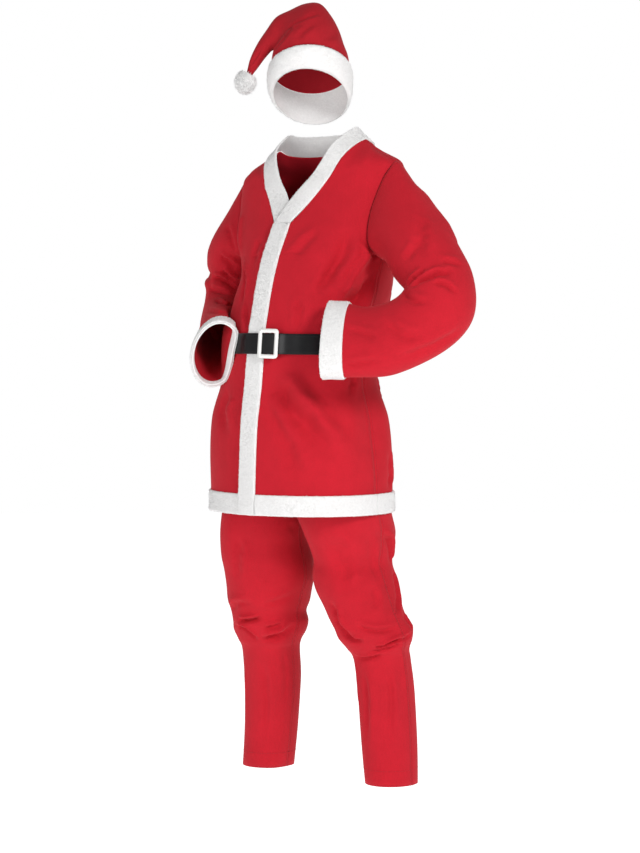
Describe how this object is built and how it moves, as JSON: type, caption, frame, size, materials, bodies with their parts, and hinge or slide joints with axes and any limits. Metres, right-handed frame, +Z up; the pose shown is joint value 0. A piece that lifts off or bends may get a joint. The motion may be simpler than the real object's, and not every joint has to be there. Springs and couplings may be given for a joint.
{
  "type": "santa suit",
  "caption": "Worn santa suit: belted jacket with white bands, trousers and a hat with a pompom, hollow and posed with hands at the belt.",
  "frame": {"origin": "middle of the neck, at the height where the jacket is carried by the wearer", "axes": "+Z up, +X towards the wearer's left side, -Y to the front"},
  "size_m": [0.7916, 0.3964, 1.7202],
  "materials": {
    "red_felt": "soft brushed felt",
    "white_plush": "short white plush",
    "black_vinyl": "glossy vinyl",
    "white_plastic": "moulded, slightly glossy"
  },
  "bodies": {
    "root": {"belt_buckle": "white_plastic", "belt_strap": "black_vinyl", "collar": "white_plush", "cuff_band_left": "white_plush", "cuff_band_right": "white_plush", "hat_band": "white_plush", "hat_crown_back": "red_felt", "hat_crown_front": "red_felt", "hat_pompom": "white_plush", "hem_band_back": "white_plush", "hem_band_left": "white_plush", "hem_band_right": "white_plush", "jacket_back": "red_felt", "jacket_front_left": "red_felt", "jacket_front_right": "red_felt", "placket_left": "white_plush", "placket_right": "white_plush", "sleeve_left": "red_felt", "sleeve_right": "red_felt", "trouser_back_left": "red_felt", "trouser_back_right": "red_felt", "trouser_front_left": "red_felt", "trouser_front_right": "red_felt", "waistband": "red_felt"}
  },
  "joints": []
}
